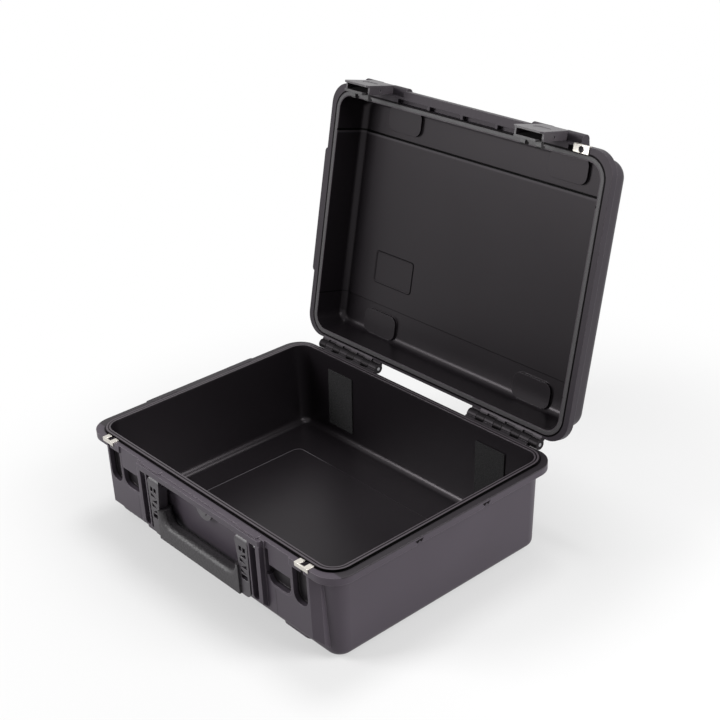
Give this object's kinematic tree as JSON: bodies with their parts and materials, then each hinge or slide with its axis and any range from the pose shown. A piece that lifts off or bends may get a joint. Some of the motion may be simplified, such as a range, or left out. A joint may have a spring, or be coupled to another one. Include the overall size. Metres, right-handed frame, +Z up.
{
  "type": "waterproof utility case",
  "caption": "Open waterproof utility case: a moulded tub and hinged lid with trigger latches, padlock plates, a rim seal, a pressure valve and folding handles.",
  "frame": {"origin": "middle of the tub's flat underside, with the feet 5 mm below it", "axes": "+X to the case's right as seen from the latches, +Y to the hinge side, +Z up"},
  "size_m": [0.5192, 0.5242, 0.5342],
  "materials": {
    "shell": "satin",
    "latch": "satin",
    "handle": "satin",
    "valve": "satin",
    "rubber": "matte",
    "stainless": "brushed",
    "pin_steel": "polished",
    "membrane": "matte",
    "hook_fabric": "matte"
  },
  "bodies": {
    "base": {"base_shell": "shell", "base_hasp_left": "stainless", "base_hasp_right": "stainless", "hinge_pin_left": "pin_steel", "hinge_pin_right": "pin_steel", "front_handle_pin_left": "pin_steel", "front_handle_pin_right": "pin_steel", "side_handle_pin_front": "pin_steel", "side_handle_pin_back": "pin_steel", "vent_cap": "valve", "vent_membrane": "membrane", "vent_nut": "valve", "hook_strip_left": "hook_fabric", "hook_strip_right": "hook_fabric"},
    "lid": {"lid_shell": "shell", "lid_gasket": "rubber", "lid_hasp_left": "stainless", "lid_hasp_right": "stainless", "latch_pin_left": "pin_steel", "latch_pin_right": "pin_steel"},
    "latch_left": {"latch_left": "latch", "trigger_pin_left": "pin_steel"},
    "latch_right": {"latch_right": "latch", "trigger_pin_right": "pin_steel"},
    "trigger_left": {"trigger_left": "latch"},
    "trigger_right": {"trigger_right": "latch"},
    "front_handle": {"front_handle": "handle", "front_grip": "rubber"},
    "side_handle": {"side_handle": "handle", "side_grip": "rubber"}
  },
  "joints": [
    {"name": "lid_hinge", "type": "hinge", "parent": "base", "child": "lid", "pos_m": [0, 0.195, 0.13], "axis": [1, 0, 0], "range_deg": [0, 102.4]},
    {"name": "latch_left_hinge", "type": "hinge", "parent": "lid", "child": "latch_left", "pos_m": [-0.156, 0.29144, 0.50811], "axis": [-1, 0, 0], "range_deg": [0, 105]},
    {"name": "trigger_left_press", "type": "hinge", "parent": "latch_left", "child": "trigger_left", "pos_m": [-0.156, 0.25639, 0.51633], "axis": [-1, 0, 0], "range_deg": [0, 14], "stiffness_Nm_per_rad": 0.3, "springref_deg": -5.73},
    {"name": "latch_right_hinge", "type": "hinge", "parent": "lid", "child": "latch_right", "pos_m": [0.156, 0.29144, 0.50811], "axis": [-1, 0, 0], "range_deg": [0, 105]},
    {"name": "trigger_right_press", "type": "hinge", "parent": "latch_right", "child": "trigger_right", "pos_m": [0.156, 0.25639, 0.51633], "axis": [-1, 0, 0], "range_deg": [0, 14], "stiffness_Nm_per_rad": 0.3, "springref_deg": -5.73},
    {"name": "front_handle_swing", "type": "hinge", "parent": "base", "child": "front_handle", "pos_m": [0, -0.1887, 0.111], "axis": [-1, 0, 0], "range_deg": [0, 90]},
    {"name": "side_handle_swing", "type": "hinge", "parent": "base", "child": "side_handle", "pos_m": [-0.2532, 0, 0.111], "axis": [0, 1, 0], "range_deg": [0, 90]}
  ]
}
